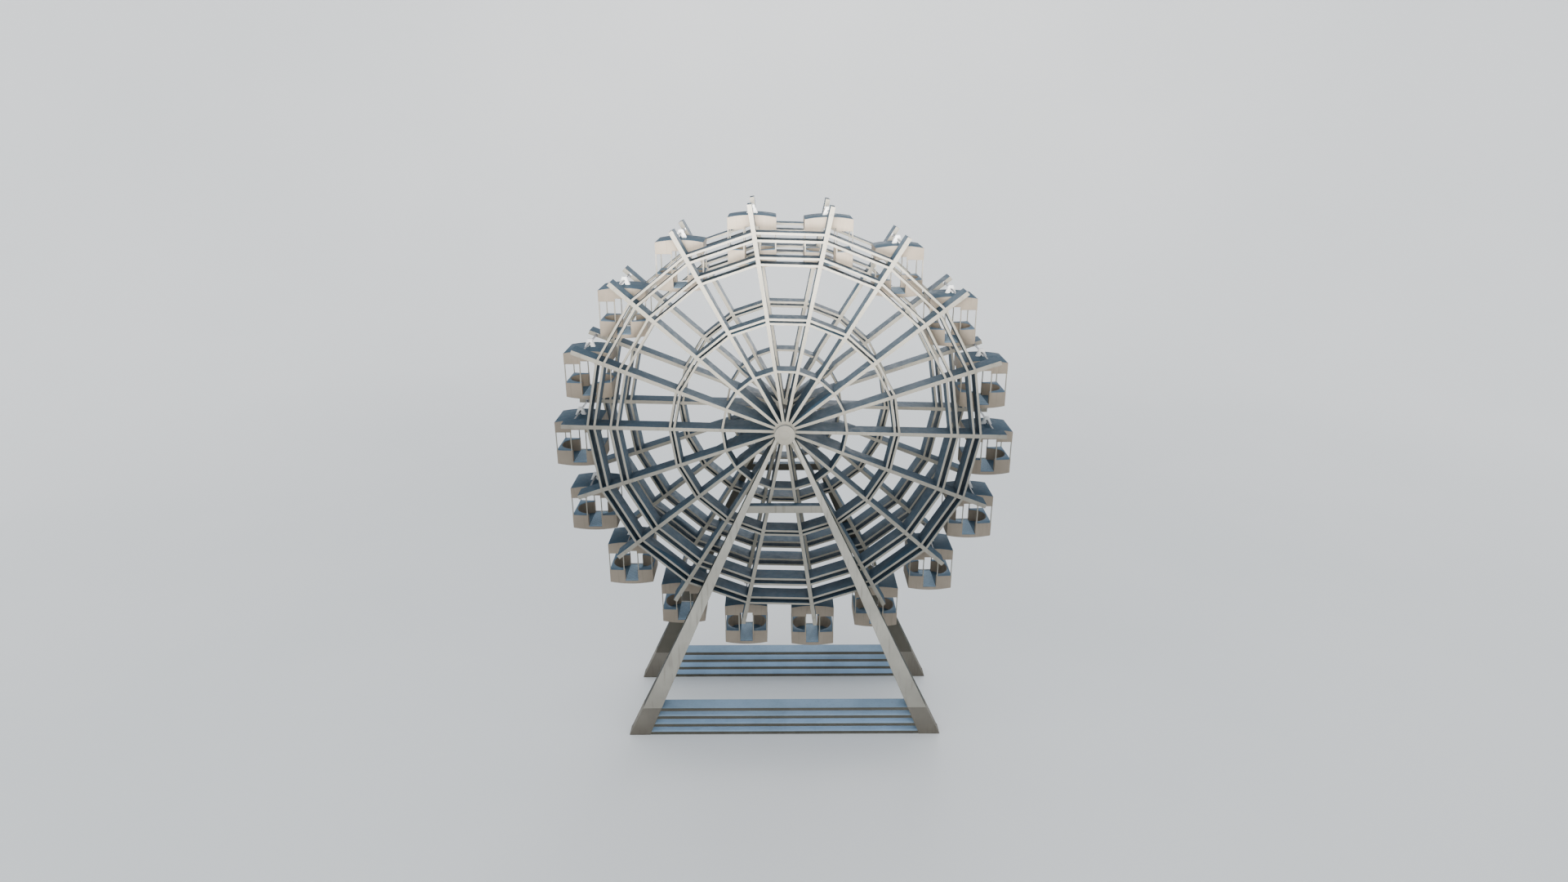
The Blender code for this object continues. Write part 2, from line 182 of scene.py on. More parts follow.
def apply_all(obj):
    only(obj)
    for modifier in list(obj.modifiers):
        bpy.ops.object.modifier_apply(modifier=modifier.name)


def carve(obj, cutter, operation="DIFFERENCE"):
    """Cut one solid out of another, or fuse it on, and throw the tool away."""
    modifier = obj.modifiers.new("Carve", "BOOLEAN")
    modifier.operation = operation
    modifier.solver = "EXACT"
    modifier.object = cutter
    apply_all(obj)
    bpy.data.objects.remove(cutter)


def mend_normals(obj):
    """Merge corners that lie on one spot, then turn every face outwards."""
    only(obj)
    bpy.ops.object.mode_set(mode="EDIT")
    bpy.ops.mesh.select_all(action="SELECT")
    bpy.ops.mesh.remove_doubles(threshold=0.00005)
    bpy.ops.mesh.normals_make_consistent(inside=False)
    leave_edit()


def soften(obj, width, segments=2, angle=35):
    """Bevel the sharp edges, then smooth what is nearly flat."""
    modifier = obj.modifiers.new("Soften", "BEVEL")
    modifier.width = width
    modifier.segments = segments
    modifier.limit_method = "ANGLE"
    modifier.angle_limit = math.radians(angle)
    modifier.use_clamp_overlap = True
    apply_all(obj)
    mend_normals(obj)
    bpy.ops.object.shade_smooth_by_angle(angle=math.radians(30))


def weld_into_one(name, objects):
    """Join several objects into one piece."""
    only(objects[0])
    for obj in objects[1:]:
        obj.select_set(True)
    bpy.ops.object.join()
    return settle(bpy.context.object, name)


def copy_to(obj, name, matrix):
    """A copy with its own mesh, its place in the mesh."""
    twin = obj.copy()
    twin.data = obj.data.copy()
    twin.name = name
    twin.data.name = name
    twin.data.transform(matrix)
    bpy.context.scene.collection.objects.link(twin)
    return twin


# %% [markdown]
# ## Cream paint with painted shade
# The wheel wears a warm cream on the edges that face the visitors. A mask from the surface's own
# normal puts a slate blue on the broad flanks. That slate is painted shade and painted sky light, the
# tint that light from above, with none from the sides, gives the flanks. It belongs to the plate and
# turns with it. Over it lie slow changes of tone, thin rain streaks, fine orange peel and a few chips
# down to the primer.

# %% Node helpers
def linear(red, green, blue):
    """A colour picked as screen values from 0 to 255, as the shader needs it."""
    def channel(value):
        share = value / 255
        return share / 12.92 if share <= 0.04045 else ((share + 0.055) / 1.055) ** 2.4
    return (channel(red), channel(green), channel(blue), 1.0)


class Bench:
    """A material's node tree, with short names for the nodes that this wheel's finishes use."""

    def __init__(self, name):
        self.material = bpy.data.materials.new(name)
        self.material.use_nodes = True
        self.tree = self.material.node_tree
        self.shader = self.tree.nodes["Principled BSDF"]
        self.place = self.tree.nodes.new("ShaderNodeTexCoord")

    def node(self, kind, **settings):
        made = self.tree.nodes.new(kind)
        for key, value in settings.items():
            setattr(made, key, value)
        return made

    def wire(self, source, target):
        self.tree.links.new(source, target)

    def noise(self, scale, detail=4.0, stretch=(1.0, 1.0, 1.0), roughness=0.55):
        mapping = self.node("ShaderNodeMapping")
        mapping.inputs["Scale"].default_value = stretch
        self.wire(self.place.outputs["Object"], mapping.inputs["Vector"])
        noise = self.node("ShaderNodeTexNoise")
        noise.inputs["Scale"].default_value = scale
        noise.inputs["Detail"].default_value = detail
        noise.inputs["Roughness"].default_value = roughness
        self.wire(mapping.outputs["Vector"], noise.inputs["Vector"])
        return noise.outputs["Fac"]

    def band(self, source, low, high, to_low=0.0, to_high=1.0):
        """Stretch a band of values to a new one, and hold it there outside."""
        band = self.node("ShaderNodeMapRange", interpolation_type="SMOOTHSTEP")
        for key, value in zip(("From Min", "From Max", "To Min", "To Max"), (low, high, to_low, to_high)):
            band.inputs[key].default_value = value
        self.wire(source, band.inputs["Value"])
        return band.outputs["Result"]

    def mix(self, share, first, second, blend="MIX"):
        """Mix two colours. A colour is a socket or four numbers."""
        mix = self.node("ShaderNodeMix", data_type="RGBA", blend_type=blend)
        if isinstance(share, (int, float)):
            mix.inputs["Factor"].default_value = share
        else:
            self.wire(share, mix.inputs["Factor"])
        for key, colour in (("A", first), ("B", second)):
            socket = [s for s in mix.inputs if s.name == key and s.type == "RGBA"][0]
            if isinstance(colour, (tuple, list)):
                socket.default_value = colour
            else:
                self.wire(colour, socket)
        return [s for s in mix.outputs if s.type == "RGBA"][0]

    def facing(self, axis):
        """1 where the surface faces along an axis of the piece, 0 where it doesn't."""
        split = self.node("ShaderNodeSeparateXYZ")
        self.wire(self.place.outputs["Normal"], split.inputs["Vector"])
        size = self.node("ShaderNodeMath", operation="ABSOLUTE")
        self.wire(split.outputs[axis], size.inputs[0])
        return size.outputs["Value"]

    def inward(self):
        """1 on a face of an A-frame that looks at the wheel, 0 on the face that looks away: where the painted
        shade goes.
        """
        halves = []
        for coordinate in ("Object", "Normal"):
            split = self.node("ShaderNodeSeparateXYZ")
            self.wire(self.place.outputs[coordinate], split.inputs["Vector"])
            halves.append(split.outputs["Y"])
        both = self.node("ShaderNodeMath", operation="MULTIPLY")
        for half, socket in zip(halves, both.inputs):
            self.wire(half, socket)
        return self.band(both.outputs["Value"], 0.05, -0.05, 0.0, 1.0)

    def height(self):
        split = self.node("ShaderNodeSeparateXYZ")
        self.wire(self.place.outputs["Object"], split.inputs["Vector"])
        return split.outputs["Z"]

    def bump(self, heights, distance, strength=0.5):
        bump = self.node("ShaderNodeBump")
        bump.inputs["Strength"].default_value = strength
        bump.inputs["Distance"].default_value = distance
        self.wire(heights, bump.inputs["Height"])
        self.wire(bump.outputs["Normal"], self.shader.inputs["Normal"])


# %% Finishes: painted plate
CREAM = linear(156, 152, 141)
# Painted light: the legs' cream is a lighter copy of the frame's cream, lit brighter.
CREAM_LEG_LIT = linear(184, 180, 169)
CREAM_CABIN = linear(150, 139, 125)
CREAM_FOOT_SHADED = linear(122, 117, 108)
OLIVE = linear(92, 90, 82)
SLATE = linear(63, 83, 98)
SLATE_DEEP = linear(72, 92, 107)
SLATE_LEG = linear(54, 59, 58)
TREAD_BLUE = linear(134, 158, 180)
TREAD_BLUE_LIT = linear(178, 204, 226)
SEAT_BLUE = linear(100, 122, 140)
WHITE = linear(240, 240, 238)
PRIMER = linear(112, 92, 78)
GRIME_AND_SHADE = linear(92, 86, 76)


def painted(name, edge_paint, flank_paint, axis="Y", rest=0.58, streaks=0.25, chips=0.7, shade_below=None,
            wheel_side_shade=None, sheen=0.08):
    """Two colours split by the way the plate faces as painted shade and light, a painted shade low down where
    asked, and weather on top.
    """
    bench = Bench(name)
    # Painted shade and light: this split gives each side of a piece the tint that light from above and in front
    # would give it.
    mask = bench.band(bench.facing(axis), 0.55, 0.8)
    # Painted shade: the faces of an A-frame that look at the wheel get a darker olive.
    if wheel_side_shade:
        edge_paint = bench.mix(bench.inward(), edge_paint, wheel_side_shade)
    colour = bench.mix(mask, flank_paint, edge_paint)
    tone = bench.band(bench.noise(0.55, 5.0), 0.3, 0.7, 0.86, 1.06)
    shade = bench.node("ShaderNodeCombineColor")
    for channel in ("Red", "Green", "Blue"):
        bench.wire(tone, shade.inputs[channel])
    colour = bench.mix(1.0, colour, shade.outputs["Color"], "MULTIPLY")
    rain = bench.band(bench.noise(3.0, 6.0, (2.6, 2.6, 0.22)), 0.52, 0.72, 0.0, streaks)
    colour = bench.mix(rain, colour, GRIME_AND_SHADE)
    # Painted shade: the piece darkens towards the ground below the given height. The same grey also serves as the
    # rain streaks' dirt.
    if shade_below:
        low_shade = bench.band(bench.height(), 0.0, shade_below, 0.45, 0.0)
        colour = bench.mix(low_shade, colour, GRIME_AND_SHADE)
    chip = bench.band(bench.noise(7.0, 9.0, roughness=0.7), chips, chips + 0.02)
    colour = bench.mix(chip, colour, PRIMER)
    bench.wire(colour, bench.shader.inputs["Base Color"])
    rough = bench.band(bench.noise(5.0, 4.0), 0.3, 0.7, rest - 0.06, rest + 0.12)
    bench.wire(rough, bench.shader.inputs["Roughness"])
    bench.shader.inputs["Specular IOR Level"].default_value = sheen
    bench.bump(bench.noise(70.0, 3.0), 0.0012, 0.35)
    return bench.material


# In these paints the split by facing is painted shade and painted sky light. The slate flanks, the blue upward
# faces and the olive sides stand for light, not for a second coat.
frame_paint = painted("frame_cream_with_painted_shade", CREAM, SLATE, streaks=0.18)
leg_paint = painted("leg_cream_with_painted_shade", CREAM_LEG_LIT, SLATE_LEG, streaks=0.3, shade_below=6.0, wheel_side_shade=OLIVE)
beam_paint = painted("beam_cream_with_painted_shade", CREAM, SLATE, streaks=0.3, wheel_side_shade=OLIVE)
# Painted shade: the feet's cream is a darker copy of the legs' cream.
foot_shade_paint = painted("foot_cream_painted_shade", CREAM_FOOT_SHADED, CREAM_FOOT_SHADED, streaks=0.4, shade_below=1.2)
board_paint = painted("base_board_tread_paint", TREAD_BLUE, OLIVE, axis="Z", streaks=0.2)
# Painted light: the lower boards, shadowed by the boards above, get a lighter blue.
lit_board_paint = painted("board_blue_painted_light", TREAD_BLUE_LIT, OLIVE, axis="Z", streaks=0.1)
cabin_paint = painted("cabin_cream_with_painted_light", SEAT_BLUE, CREAM_CABIN, axis="Z", streaks=0.2)
seat_paint = painted("seat_panel_paint", SEAT_BLUE, SEAT_BLUE, streaks=0.1, rest=0.5)
roof_paint = painted("roof_cream_with_painted_light", SLATE_DEEP, CREAM_CABIN, axis="Z", streaks=0.22)
# Painted light: the cabin floor gets the lighter blue too, against the shade under the roof.
tread_paint = painted("floor_tread_paint", TREAD_BLUE_LIT, SEAT_BLUE, axis="Z", streaks=0.1, chips=0.66)
cream_paint = painted("plain_cream_paint", CREAM, CREAM, streaks=0.1)
hanger_paint = painted("hanger_white_gloss", WHITE, WHITE, rest=0.35, streaks=0.05, sheen=0.4)
print("painted finishes:", len(bpy.data.materials))

# %% [markdown]
# ## Bare steel
# The axles and the bolted flanges on the discs are bare turned steel, so their finish has fine tool
# marks and a little oil. On the axles the marks are rings, from a noise squeezed along the axle's direction.

# %% Finishes: steel
def bare_steel(name, colour, rest, stretch):
    bench = Bench(name)
    bench.shader.inputs["Metallic"].default_value = 1.0
    marks = bench.noise(4.0, 8.0, stretch)
    tint = bench.mix(bench.band(marks, 0.35, 0.65), colour, tuple(c * 0.62 for c in colour[:3]) + (1.0,))
    oil = bench.band(bench.noise(3.5, 4.0), 0.5, 0.66, 0.0, 0.5)
    bench.wire(bench.mix(oil, tint, linear(70, 62, 52)), bench.shader.inputs["Base Color"])
    bench.wire(bench.band(marks, 0.3, 0.7, rest - 0.08, rest + 0.14), bench.shader.inputs["Roughness"])
    bench.bump(marks, 0.0006, 0.4)
    return bench.material


axle_steel = bare_steel("turned_axle_steel", linear(112, 114, 118), 0.38, (1.0, 60.0, 1.0))
bolt_steel = bare_steel("zinc_bolt_steel", linear(168, 170, 172), 0.34, (12.0, 12.0, 12.0))

# %% [markdown]
# ## Dress the solids that stay
# A leg or a disc is already the right shape, so it stays and only gets paint. Its sharp corners
# would look like paper, and its mesh may not be touched, so a weld and a bevel lie on top of it as
# live modifiers.

# %% Paint the frame, the boards, the discs and the axles
def dress(node_name, material, bevel=0.0):
    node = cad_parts[node_name]
    node.data.materials.clear()
    node.data.materials.append(material)
    if bevel:
        weld = node.modifiers.new("Weld", "WELD")
        weld.merge_threshold = 0.0001
        edge = node.modifiers.new("Rolled edge", "BEVEL")
        edge.width = bevel
        edge.segments = 2
        edge.limit_method = "ANGLE"
        edge.angle_limit = math.radians(40)


for word in ("front", "rear"):
    dress(f"{word}_wheel_disc", frame_paint, 0.006)
    dress(f"{word}_cross_beam", beam_paint, 0.012)
    dress(f"{word}_bearing_head", frame_paint, 0.008)
    for side in ("left", "right"):
        dress(f"{word}_{side}_leg", leg_paint, 0.014)
        dress(f"{word}_{side}_foot", foot_shade_paint, 0.014)
    for row in range(1, 5):
        # Rows 1 to 3 take the lighter blue, which is painted light.
        dress(f"{word}_base_board_{row}", board_paint if row == 4 else lit_board_paint, 0.008)
dress("main_axle", axle_steel, 0.004)
for arm in range(ARMS):
    dress(f"cabin_axle_{arm + 1:02d}", axle_steel, 0.003)
print("CAD nodes dressed:", sum(1 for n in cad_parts.values() if n.data.materials))

# %% [markdown]
# ## The tub of a cabin
# The real tub is a welded box with a bowed belly, an oval well between corner seats and a doorway
# cut through front and rear. It could be bent from sheets, but the outside is a plain block with a
# curved bottom, so a block is sliced into rows, the rows are lowered along an arch, and the well
# and doorway are carved out. It is drawn about its own pivot and copied to its place later.

# %% Cabin sizes, counted from the pivot
HALF_X, HALF_Y = 1.02, 0.89
SILL, FLOOR = -1.595, -2.19
CORNER, BELLY = -2.25, -2.355
DOOR = 0.305
ROOF_EDGE, ROOF_CROWN = -0.27, -0.17
FASCIA = -0.765


def oval_cutter(name, half_x, half_y, low, high, corner):
    """An upright block whose corners are rounded so far that it is nearly an oval."""
    cutter = block(name, (-half_x, -half_y, low), (half_x, half_y, high))
    pick(cutter, "EDGE", lambda a, b: abs(a.z - b.z) > 0.1)
    bpy.ops.mesh.bevel(offset=corner, segments=14)
    leave_edit()
    return cutter


def arch(x, edge, crown):
    return crown + (edge - crown) * (x / HALF_X) ** 2


def bow_rows(obj, rows, level, edge, crown):
    """Move each row of corners at a level onto an arch across the cabin."""
    for row in rows:
        chosen = pick(obj, "VERT", lambda co: abs(co.x - row) < 0.001 and abs(co.z - level) < 0.001)
        if chosen:
            bpy.ops.transform.translate(value=(0, 0, arch(row, edge, crown) - level))
        leave_edit()


# %% Tub
ROWS = [HALF_X * n / 6 for n in range(-6, 7)]
tub = block("tub", (-HALF_X, -HALF_Y, CORNER), (HALF_X, HALF_Y, SILL))
slice_across(tub, ROWS[1:-1])
bow_rows(tub, ROWS, CORNER, CORNER, BELLY)
bow_rows(tub, ROWS, SILL, SILL, SILL - 0.035)
carve(tub, oval_cutter("well", 0.94, 0.68, FLOOR, FLOOR + 1.0, 0.66))
carve(tub, block("doorway", (-DOOR, -1.2, FLOOR), (DOOR, 1.2, -1.2)))
mend_normals(tub)
soften(tub, 0.012, 3)
print("tub:", len(tub.data.polygons), "faces")

# %% [markdown]
# ## Seats, tread and sills
# The blue tops of the corners are the seats. A real seat has a pressed panel with a raised lip, so
# each one is a thin carved slab with its own bevel. The floor is a ribbed tread: one rib is
# modelled, and an array lays the rest. A sill closes the tread at each doorway. The front one is
# blue and belongs to the tread, the rear one is white.

# %% Seat panels
seats = block("seats", (-HALF_X + 0.03, -HALF_Y + 0.06, SILL - 0.06), (HALF_X - 0.03, HALF_Y - 0.06, SILL + 0.012))
slice_across(seats, ROWS[1:-1])
bow_rows(seats, ROWS, SILL + 0.012, SILL + 0.012, SILL - 0.023)
carve(seats, oval_cutter("oval", 0.955, 0.695, SILL - 0.5, SILL + 0.5, 0.675))
carve(seats, block("gap", (-DOOR - 0.03, -1.2, -2.0), (DOOR + 0.03, 1.2, -1.2)))
mend_normals(seats)
soften(seats, 0.008, 2)
print("seats:", len(seats.data.polygons), "faces")

# %% Floor tread and sills
PITCH = 0.0462
tread = block("tread", (-DOOR + 0.008, -0.825, FLOOR - 0.004), (-DOOR + 0.042, 0.825, FLOOR + 0.005))
pick(tread, "FACE", lambda centre, normal: normal.z > 0.9)
bpy.ops.mesh.inset(thickness=0.005, depth=0.002)
leave_edit()
ribs = tread.modifiers.new("Ribs", "ARRAY")
ribs.count = 13
ribs.use_relative_offset = False
ribs.use_constant_offset = True
ribs.constant_offset_displace = (PITCH, 0, 0)
apply_all(tread)
soften(tread, 0.0015, 1)


def sill(name, side):
    """A low bar across a doorway that narrows towards its top."""
    low, high = sorted((side * (HALF_Y - 0.010), side * (HALF_Y - 0.055)))
    made = block(name, (-DOOR + 0.004, low, FLOOR - 0.002), (DOOR - 0.004, high, FLOOR + 0.040))
    pick(made, "FACE", lambda centre, normal: normal.z > 0.9)
    bpy.ops.transform.resize(value=(1.0, 0.6, 1.0), center_override=(0, (low + high) / 2, 0))
    leave_edit()
    soften(made, 0.005, 2)
    return made


tread = weld_into_one("tread", [tread, sill("front_sill", -1)])
rear_sill = sill("rear_sill", 1)
print("tread:", len(tread.data.polygons), "rear sill:", len(rear_sill.data.polygons), "faces")

# %% [markdown]
# ## Posts
# Eight thin square posts carry the roof. One post is drawn with a small welded foot plate, and two
# mirrors set it at the other corners, so all eight stay alike.

# %% Posts
def post(name, x, y):
    """A square post with a plate at its foot and head."""
    made = block(name, (x, y, SILL - 0.07), (x + 0.045, y + 0.045, FASCIA + 0.08))
    for level, grow in ((SILL - 0.03, 0.008), (FASCIA - 0.004, -0.002)):
        plate = block("plate", (x - 0.014, y - 0.014, level), (x + 0.045, y + 0.045, level + 0.010 + abs(grow)))
        carve(made, plate, "UNION")
    return made


corner_post = post("corner_post", HALF_X - 0.052, HALF_Y - 0.052)
door_post = post("door_post", DOOR + 0.012, HALF_Y - 0.052)
posts = weld_into_one("posts", [corner_post, door_post])
mirror = posts.modifiers.new("Mirror", "MIRROR")
mirror.use_axis = (True, True, False)
mirror.use_mirror_merge = False
apply_all(posts)
mend_normals(posts)
soften(posts, 0.005, 2)
print("posts:", len(posts.data.polygons), "faces")

# %% [markdown]
# ## Roof
# The roof is one pressed shell: a shallow arch over a deep fascia that is notched over both
# doorways. The block is sliced and bowed like the tub. Its top is then inset and raised a little,
# which gives the drip edge that keeps rain off the fascia.

# %% Roof
roof = block("roof", (-HALF_X, -HALF_Y, FASCIA), (HALF_X, HALF_Y, ROOF_EDGE))
slice_across(roof, ROWS[1:-1])
bow_rows(roof, ROWS, ROOF_EDGE, ROOF_EDGE - 0.008, ROOF_CROWN - 0.008)
pick(roof, "FACE", lambda centre, normal: normal.z > 0.8)
bpy.ops.mesh.inset(thickness=0.030, depth=0.0, use_boundary=True)
bpy.ops.transform.translate(value=(0, 0, 0.010))
leave_edit()
carve(roof, block("room", (-0.965, -0.835, -1.0), (0.965, 0.835, -0.34)))
carve(roof, block("notch", (-DOOR, -1.2, -1.0), (DOOR, 1.2, -0.64)))
mend_normals(roof)
soften(roof, 0.009, 2)
print("roof:", len(roof.data.polygons), "faces")

# %% [markdown]
# ## Hanger and its bearing
# The white A on the roof carries the whole cabin on a fixed bar. It starts as a block whose top is
# drawn in. A wedge is carved from below to make the two legs, and a bore takes the bar. A white
# collar with four bolts closes the bore on both sides.

# %% Hanger
hanger = block("hanger", (-0.255, -0.08, -0.215), (0.255, 0.08, 0.17))
pick(hanger, "VERT", lambda co: co.z > 0.1)
bpy.ops.transform.resize(value=(0.085 / 0.255, 1.0, 1.0), center_override=(0, 0, 0.17))
leave_edit()
wedge = block("wedge", (-0.115, -0.2, -0.30), (0.115, 0.2, -0.068))
pick(wedge, "VERT", lambda co: co.z > -0.1)
bpy.ops.transform.resize(value=(0.06, 1.0, 1.0), center_override=(0, 0, -0.068))
leave_edit()
carve(hanger, wedge)
carve(hanger, bar("bore", 0.043, -0.2, 0.2, sides=32))
mend_normals(hanger)
soften(hanger, 0.007, 2)
print("hanger:", len(hanger.data.polygons), "faces")


# %% A bolt, a collar, a bearing
def bolt(name, x, z, y, radius=0.012, height=0.009):
    """A hexagon head that faces -Y, with a chamfered crown."""
    head = bar(name, radius, y - height, y, sides=6, x=x, z=z)
    pick(head, "FACE", lambda centre, normal: normal.y < -0.9)
    bpy.ops.mesh.inset(thickness=radius * 0.16, depth=height * 0.18)
    leave_edit()
    return head


def collar(name, inner, outer, thickness, bolts, pitch, bolt_radius):
    """A bored flange that faces -Y with its back at y = 0, and a ring of bolts."""
    ring = bar(name, outer, -thickness, 0.0, sides=32)
    pick(ring, "FACE", lambda centre, normal: normal.y < -0.9)
    bpy.ops.mesh.inset(thickness=(outer - inner) * 0.62, depth=0.0)
    bpy.ops.mesh.extrude_region_move(TRANSFORM_OT_translate={"value": (0, -thickness * 0.35, 0)})
    leave_edit()
    carve(ring, bar("bore", inner, -0.2, 0.1, sides=32))
    mend_normals(ring)
    soften(ring, 0.0025, 2)
    heads = []
    for n in range(bolts):
        turn = 2 * math.pi * (n + 0.5) / bolts
        heads.append(bolt("bolt", pitch * math.cos(turn), pitch * math.sin(turn), -thickness, bolt_radius))
    return weld_into_one(name, [ring, *heads])


flange = collar("flange", 0.0425, 0.066, 0.007, 4, 0.056, 0.006)
bearings = [
    copy_to(flange, "bearing", Matrix.Translation((0, -0.0803, 0))),
    copy_to(flange, "bearing", Matrix.Translation((0, 0.0803, 0)) @ Matrix.Rotation(math.pi, 4, "Z")),
]
bearing = weld_into_one("bearing", bearings)
bpy.data.objects.remove(flange)
print("bearing:", len(bearing.data.polygons), "faces")

# %% [markdown]
# ## Eighteen cabins
# All eighteen cabins are alike, so the set is copied to each arm's pivot. Each copy has a mesh of
# its own with its place pressed in, and rides on its cabin's body, so it stays level when the
# wheel turns. The paint's noise is read in the wheel's frame, so no two cabins weather alike.

# %% Copy the cabin set round the wheel
CABIN_SET = (
    (tub, "tub", cabin_paint, "cabin_cream"), (seats, "seats", seat_paint, "cabin_slate"),
    (tread, "tread", tread_paint, "cabin_slate"), (rear_sill, "rear_sill", hanger_paint, "hanger_white"),
    (posts, "posts", cream_paint, "cabin_cream"), (roof, "roof", roof_paint, "cabin_slate"),
    (hanger, "hanger", hanger_paint, "hanger_white"), (bearing, "bearing", hanger_paint, "hanger_white"),
)


def finish_piece(piece, material, body):
    piece.data.materials.clear()
    piece.data.materials.append(material)
    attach(piece, body)


for arm in range(ARMS):
    cabin = f"cabin_{arm + 1:02d}"
    angle = arm_angle(arm)
    to_pivot = Matrix.Translation((PIVOT * math.cos(angle), 0, HUB + PIVOT * math.sin(angle)))
    for model, word, material, slot in CABIN_SET:
        piece = copy_to(model, f"{cabin}_{word}", to_pivot)
        finish_piece(piece, material, f"{cabin}_body")
        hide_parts(cabin)
for model, *_ in CABIN_SET:
    bpy.data.objects.remove(model)
print("cabin pieces:", ARMS * len(CABIN_SET))

# %% [markdown]
# ## Fittings on the discs
# Each fixed bar sits in a bolted flange on the inside of a disc and under a greased cap on the
# outside. The outer rings are joined to the arms by bolted plates, because a wheel that travels
# comes apart there. One of each is modelled, and all go round the wheel by turning about the hub.

# %% Flanges and caps at the arm ends
inner_flange = collar("inner_flange", 0.0425, 0.078, 0.012, 6, 0.064, 0.008)
end_cap = bar("end_cap", 0.078, -0.014, 0.0, sides=32)
pick(end_cap, "FACE", lambda centre, normal: normal.y < -0.9)
bpy.ops.mesh.inset(thickness=0.026, depth=0.0)
bpy.ops.mesh.extrude_region_move(TRANSFORM_OT_translate={"value": (0, -0.022, 0)})
bpy.ops.mesh.inset(thickness=0.010, depth=0.006)
leave_edit()
carve(end_cap, bar("axle_room", 0.0425, -0.024, 0.1, sides=32))
mend_normals(end_cap)
soften(end_cap, 0.003, 2)


def ring_of(model, name, places, material, body):
    """Copies of a model at each place, joined into one piece."""
    copies = [copy_to(model, name, place) for place in places]
    piece = weld_into_one(name, copies)
    finish_piece(piece, material, body)
    return piece


for word, facing in (("front", -1), ("rear", 1)):
    outer = [on_wheel(arm, PIVOT, facing * (DISC_FACE + 0.0003), facing) for arm in range(ARMS)]
    inner = [on_wheel(arm, PIVOT, facing * (DISC_BACK - 0.0003), -facing) for arm in range(ARMS)]
    ring_of(end_cap, f"{word}_axle_caps", outer, cream_paint, "wheel")
    ring_of(inner_flange, f"{word}_axle_flanges", inner, bolt_steel, "wheel")
bpy.data.objects.remove(inner_flange)
bpy.data.objects.remove(end_cap)

# %% Joint plates where rings meet arms
RINGS = (0.318, 0.562, 0.584, 0.8505, 0.883, 0.965, 1.0)
joint_plate = block("joint_plate", (-0.036, -0.008, -0.125), (0.036, 0.0, 0.125))
pick(joint_plate, "EDGE", lambda a, b: abs(a.y - b.y) > 0.005)
bpy.ops.mesh.bevel(offset=0.02, segments=3)
leave_edit()
soften(joint_plate, 0.0025, 1)
heads = [bolt("bolt", 0.0, z, -0.008, 0.011, 0.008) for z in (-0.095, -0.035, 0.035, 0.095)]
joint_plate = weld_into_one("joint_plate", [joint_plate, *heads])
for word, facing in (("front", -1), ("rear", 1)):
    places = [
        on_wheel(arm, share * RIM - 0.009, facing * (DISC_FACE + 0.0003), facing)
        for share in RINGS for arm in range(ARMS)
    ]
    ring_of(joint_plate, f"{word}_joint_plates", places, frame_paint, "wheel")
bpy.data.objects.remove(joint_plate)
print("fittings on the discs: 6 pieces")

# %% [markdown]
# ## Bearing caps and foot plates
# The main bearing's cap is held by a ring of large bolts, and a shallow dome covers the axle's end.
# Each foot stands on a flat plate with anchor bolts. Both are small, but they say how the wheel is
# held, and a reader who looks from the side will search for them.

# %% Caps over the main bearing
head_low, head_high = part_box("front_bearing_head")
CAP_FACE = -head_low.y
cover = bar("cover", 0.20, -0.008, 0.0, sides=48)
pick(cover, "FACE", lambda centre, normal: normal.y < -0.9)
bpy.ops.mesh.inset(thickness=0.05, depth=0.005)
bpy.ops.mesh.inset(thickness=0.07, depth=0.003)
leave_edit()
soften(cover, 0.002, 2)
heads = []
for n in range(12):
    turn = 2 * math.pi * (n + 0.5) / 12
    heads.append(bolt("bolt", 0.385 * math.cos(turn), 0.385 * math.sin(turn), 0.0, 0.018, 0.012))
bolts = weld_into_one("cap_bolts", heads)
for word, facing in (("front", -1), ("rear", 1)):
    flip = Matrix.Rotation(math.pi, 4, "Z") if facing > 0 else Matrix.Identity(4)
    place = Matrix.Translation((0, facing * (CAP_FACE + 0.0003), HUB)) @ flip
    finish_piece(copy_to(cover, f"{word}_axle_cover", place), cream_paint, "support")
    finish_piece(copy_to(bolts, f"{word}_cap_bolts", place), cream_paint, "support")
bpy.data.objects.remove(cover)
bpy.data.objects.remove(bolts)

# %% Foot plates with anchor bolts
for word in ("front", "rear"):
    for side in ("left", "right"):
        low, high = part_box(f"{word}_{side}_foot")
        outer_x = max(abs(low.x), abs(high.x))
        inner_x = outer_x - 0.98
        x_low, x_high = sorted(math.copysign(x, low.x + high.x) for x in (inner_x, outer_x))
        plate = block("plate", (x_low - 0.012, low.y - 0.012, 0.0), (x_high + 0.012, high.y + 0.012, 0.022))
        carve(plate, block("core", (x_low + 0.02, low.y + 0.02, -0.1), (x_high - 0.02, high.y - 0.02, 0.1)))
        mend_normals(plate)
        soften(plate, 0.006, 2)
        # The plate takes the feet's darker cream, which is painted shade.
        finish_piece(plate, foot_shade_paint, "support")
        plate.name = plate.data.name = f"{word}_{side}_foot_plate"
print("foot plates: 4")

# %% [markdown]
# ## Leg flares
# Seen from the side, the real leg leans in from a foot that is deeper than the leg. A welded flare
# makes up that depth: full at the foot, and run out to nothing higher up. It starts as a block, its
# four upright edges are moved onto the leg's slanting edges, and its upper end is drawn back.

# %% Flares on the inner faces of the legs
FLARE_LOW, FLARE_HIGH = 1.502, 5.2


def leg_edge(outline, z):
    """How far a leg's inner or outer edge stands from the middle at a height."""
    at_ground, at_hub = outline
    return at_ground + (at_hub - at_ground) * z / HUB


